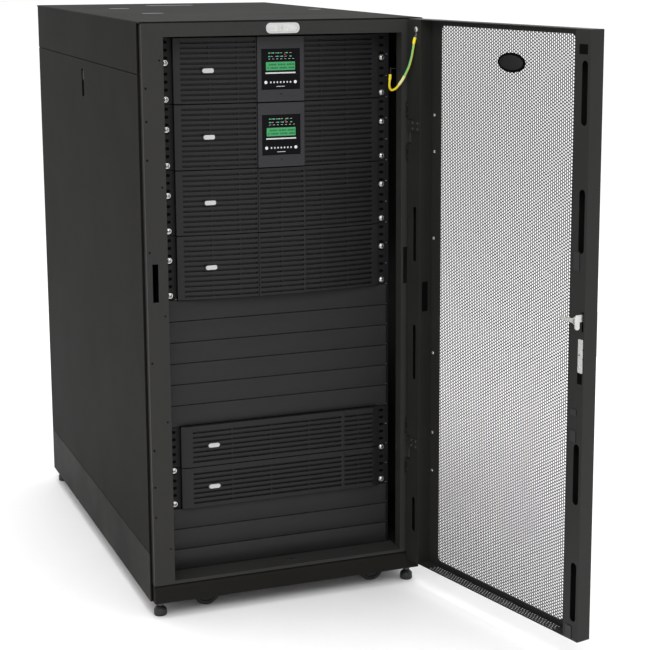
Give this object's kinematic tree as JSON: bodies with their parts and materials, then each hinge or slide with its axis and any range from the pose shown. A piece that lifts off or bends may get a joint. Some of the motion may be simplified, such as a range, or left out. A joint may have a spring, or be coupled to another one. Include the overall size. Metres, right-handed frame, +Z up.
{
  "type": "rack cabinet with power units",
  "caption": "Rack cabinet on casters and levelling feet, perforated front door open, holding rack power units, louvered battery units and blanking panels.",
  "frame": {"origin": "on the floor under the middle of the bounding box, with the front door open 103 degrees", "axes": "+X to the right seen from the front, +Y from the front to the back, +Z up"},
  "size_m": [0.7308, 1.6164, 1.225],
  "materials": {
    "powder_coat": "satin",
    "perforated_sheet": "satin",
    "unit_case": "matte",
    "bezel_plastic": "matte",
    "blank_plastic": "matte",
    "panel_plastic": "gloss",
    "button_plastic": "satin",
    "zinc_plate": "satin",
    "handle_plastic": "satin",
    "caster_steel": "satin",
    "wheel_rubber": "matte",
    "foot_plastic": "matte",
    "wire_green": "satin"
  },
  "bodies": {
    "cabinet": {"base_frame": "powder_coat", "front_frame": "powder_coat", "rear_frame": "powder_coat", "roof_panel": "powder_coat", "front_rail_left": "powder_coat", "front_rail_right": "powder_coat", "side_panel_left": "powder_coat", "side_panel_right": "powder_coat", "ups_upper_chassis": "unit_case", "ups_upper_bezel": "bezel_plastic", "ups_lower_chassis": "unit_case", "ups_lower_bezel": "bezel_plastic", "battery_upper_chassis": "unit_case", "battery_upper_bezel": "bezel_plastic", "battery_lower_chassis": "unit_case", "battery_lower_bezel": "bezel_plastic", "power_module_upper_chassis": "unit_case", "power_module_upper_bezel": "bezel_plastic", "power_module_lower_chassis": "unit_case", "power_module_lower_bezel": "bezel_plastic", "blank_upper_1": "blank_plastic", "blank_upper_2": "blank_plastic", "blank_upper_3": "blank_plastic", "blank_upper_4": "blank_plastic", "blank_upper_5": "blank_plastic", "blank_upper_6": "blank_plastic", "blank_lower_1": "blank_plastic", "blank_lower_2": "blank_plastic", "blank_lower_3": "blank_plastic", "ups_upper_control_panel": "panel_plastic", "ups_lower_control_panel": "panel_plastic", "ground_wire": "wire_green"},
    "front_door": {"front_door_frame": "powder_coat", "front_door_mesh": "perforated_sheet", "handle_escutcheon": "handle_plastic", "latch_cover": "zinc_plate"},
    "handle_spindle": {"handle_spindle": "zinc_plate"},
    "handle_lever": {"handle_lever": "handle_plastic"},
    "latch_bolt": {"latch_bolt": "zinc_plate"},
    "rear_door_left": {"rear_door_left": "powder_coat"},
    "rear_door_right": {"rear_door_right": "powder_coat"},
    "rear_latch": {"rear_latch": "handle_plastic"},
    "side_latch_left": {"side_latch_left": "handle_plastic"},
    "side_latch_right": {"side_latch_right": "handle_plastic"},
    "ups_upper_button_left": {"ups_upper_button_left": "button_plastic"},
    "ups_upper_button_right": {"ups_upper_button_right": "button_plastic"},
    "ups_lower_button_left": {"ups_lower_button_left": "button_plastic"},
    "ups_lower_button_right": {"ups_lower_button_right": "button_plastic"},
    "caster_fork_front_left": {"caster_fork_front_left": "caster_steel"},
    "caster_wheel_front_left": {"caster_wheel_front_left": "wheel_rubber"},
    "levelling_foot_front_left": {"levelling_foot_front_left": "foot_plastic"},
    "caster_fork_front_right": {"caster_fork_front_right": "caster_steel"},
    "caster_wheel_front_right": {"caster_wheel_front_right": "wheel_rubber"},
    "levelling_foot_front_right": {"levelling_foot_front_right": "foot_plastic"},
    "caster_fork_rear_left": {"caster_fork_rear_left": "caster_steel"},
    "caster_wheel_rear_left": {"caster_wheel_rear_left": "wheel_rubber"},
    "levelling_foot_rear_left": {"levelling_foot_rear_left": "foot_plastic"},
    "caster_fork_rear_right": {"caster_fork_rear_right": "caster_steel"},
    "caster_wheel_rear_right": {"caster_wheel_rear_right": "wheel_rubber"},
    "levelling_foot_rear_right": {"levelling_foot_rear_right": "foot_plastic"}
  },
  "joints": [
    {"name": "front_door_swing", "type": "hinge", "parent": "cabinet", "child": "front_door", "pos_m": [0.20463, -0.26769, 0.64], "axis": [0, 0, 1], "range_deg": [-103, 9], "deforming": ["ground_wire"]},
    {"name": "handle_turn", "type": "hinge", "parent": "front_door", "child": "handle_spindle", "pos_m": [0.32385, -0.78411, 0.686], "axis": [-0.9744, -0.225, 0], "range_deg": [0, 90]},
    {"name": "handle_lift", "type": "hinge", "parent": "handle_spindle", "child": "handle_lever", "pos_m": [0.36102, -0.77553, 0.686], "axis": [0, 0, -1], "range_deg": [0, 35]},
    {"name": "bolt_slide", "type": "slide", "parent": "front_door", "child": "latch_bolt", "axis": [0, 0, -1], "range_m": [0, 0.016]},
    {"name": "rear_door_left_swing", "type": "hinge", "parent": "cabinet", "child": "rear_door_left", "pos_m": [-0.34637, 0.77881, 0.64], "axis": [0, 0, 1], "range_deg": [0, 100]},
    {"name": "rear_door_right_swing", "type": "hinge", "parent": "cabinet", "child": "rear_door_right", "pos_m": [0.21563, 0.77881, 0.64], "axis": [0, 0, 1], "range_deg": [-100, 0]},
    {"name": "rear_latch_turn", "type": "hinge", "parent": "rear_door_right", "child": "rear_latch", "pos_m": [-0.04737, 0.78281, 0.64], "axis": [0, -1, 0], "range_deg": [0, 90]},
    {"name": "caster_front_left_swivel", "type": "hinge", "parent": "cabinet", "child": "caster_fork_front_left", "pos_m": [-0.25237, -0.20519, 0.064], "axis": [0, 0, 1], "continuous": true},
    {"name": "caster_front_left_roll", "type": "hinge", "parent": "caster_fork_front_left", "child": "caster_wheel_front_left", "pos_m": [-0.23737, -0.20519, 0.02832], "axis": [0, 1, 0], "continuous": true},
    {"name": "levelling_foot_front_left_screw", "type": "slide", "parent": "cabinet", "child": "levelling_foot_front_left", "axis": [0, 0, 1], "range_m": [-0.015, 0]},
    {"name": "caster_front_right_swivel", "type": "hinge", "parent": "cabinet", "child": "caster_fork_front_right", "pos_m": [0.12163, -0.20519, 0.064], "axis": [0, 0, 1], "continuous": true},
    {"name": "caster_front_right_roll", "type": "hinge", "parent": "caster_fork_front_right", "child": "caster_wheel_front_right", "pos_m": [0.13663, -0.20519, 0.02832], "axis": [0, 1, 0], "continuous": true},
    {"name": "levelling_foot_front_right_screw", "type": "slide", "parent": "cabinet", "child": "levelling_foot_front_right", "axis": [0, 0, 1], "range_m": [-0.015, 0]},
    {"name": "caster_rear_left_swivel", "type": "hinge", "parent": "cabinet", "child": "caster_fork_rear_left", "pos_m": [-0.25237, 0.72181, 0.064], "axis": [0, 0, 1], "continuous": true},
    {"name": "caster_rear_left_roll", "type": "hinge", "parent": "caster_fork_rear_left", "child": "caster_wheel_rear_left", "pos_m": [-0.23737, 0.72181, 0.02832], "axis": [0, 1, 0], "continuous": true},
    {"name": "levelling_foot_rear_left_screw", "type": "slide", "parent": "cabinet", "child": "levelling_foot_rear_left", "axis": [0, 0, 1], "range_m": [-0.015, 0]},
    {"name": "caster_rear_right_swivel", "type": "hinge", "parent": "cabinet", "child": "caster_fork_rear_right", "pos_m": [0.12163, 0.72181, 0.064], "axis": [0, 0, 1], "continuous": true},
    {"name": "caster_rear_right_roll", "type": "hinge", "parent": "caster_fork_rear_right", "child": "caster_wheel_rear_right", "pos_m": [0.13663, 0.72181, 0.02832], "axis": [0, 1, 0], "continuous": true},
    {"name": "levelling_foot_rear_right_screw", "type": "slide", "parent": "cabinet", "child": "levelling_foot_rear_right", "axis": [0, 0, 1], "range_m": [-0.015, 0]},
    {"name": "side_latch_left_slide", "type": "slide", "parent": "cabinet", "child": "side_latch_left", "axis": [0, 0, 1], "range_m": [-0.018, 0], "stiffness_N_per_m": 40, "springref_m": 0.006},
    {"name": "side_latch_right_slide", "type": "slide", "parent": "cabinet", "child": "side_latch_right", "axis": [0, 0, 1], "range_m": [-0.018, 0], "stiffness_N_per_m": 40, "springref_m": 0.006},
    {"name": "ups_upper_button_left_press", "type": "slide", "parent": "cabinet", "child": "ups_upper_button_left", "axis": [0, 1, 0], "range_m": [0, 0.0008], "stiffness_N_per_m": 600, "springref_m": -0.0005},
    {"name": "ups_upper_button_right_press", "type": "slide", "parent": "cabinet", "child": "ups_upper_button_right", "axis": [0, 1, 0], "range_m": [0, 0.0008], "stiffness_N_per_m": 600, "springref_m": -0.0005},
    {"name": "ups_lower_button_left_press", "type": "slide", "parent": "cabinet", "child": "ups_lower_button_left", "axis": [0, 1, 0], "range_m": [0, 0.0008], "stiffness_N_per_m": 600, "springref_m": -0.0005},
    {"name": "ups_lower_button_right_press", "type": "slide", "parent": "cabinet", "child": "ups_lower_button_right", "axis": [0, 1, 0], "range_m": [0, 0.0008], "stiffness_N_per_m": 600, "springref_m": -0.0005}
  ],
  "couplings": [
    {"joint": "bolt_slide", "follows": "handle_turn", "m_per_rad": 0.01018}
  ]
}
